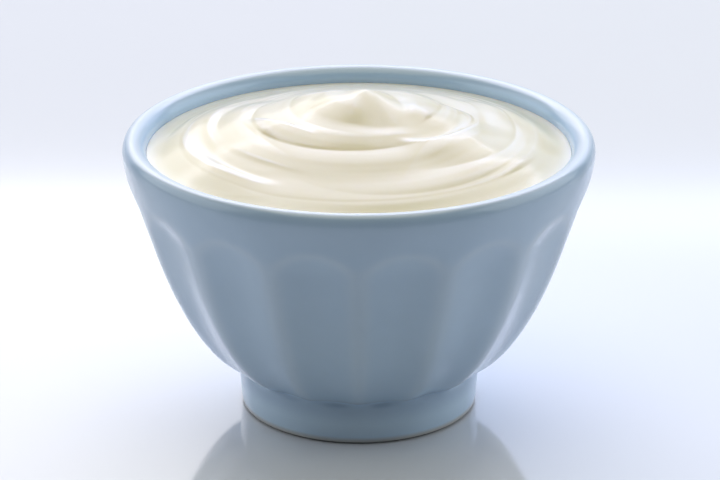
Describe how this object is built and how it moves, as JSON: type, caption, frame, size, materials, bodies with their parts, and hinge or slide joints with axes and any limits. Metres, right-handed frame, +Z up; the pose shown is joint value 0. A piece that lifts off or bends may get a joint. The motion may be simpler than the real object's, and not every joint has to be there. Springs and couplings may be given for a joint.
{
  "type": "bowl of yogurt",
  "caption": "Footed fluted ceramic latte bowl in powder blue, filled above its rim in the middle with white yogurt swirled to a soft peak.",
  "frame": {"origin": "middle of the ring that the bowl stands on", "axes": "+Z up through the bowl's axis, -Y towards the side that faces the camera"},
  "size_m": [0.115, 0.115, 0.082],
  "materials": {
    "glaze": "gloss",
    "yogurt": "satin"
  },
  "bodies": {
    "root": {"bowl": "glaze", "yogurt": "yogurt"}
  },
  "joints": []
}
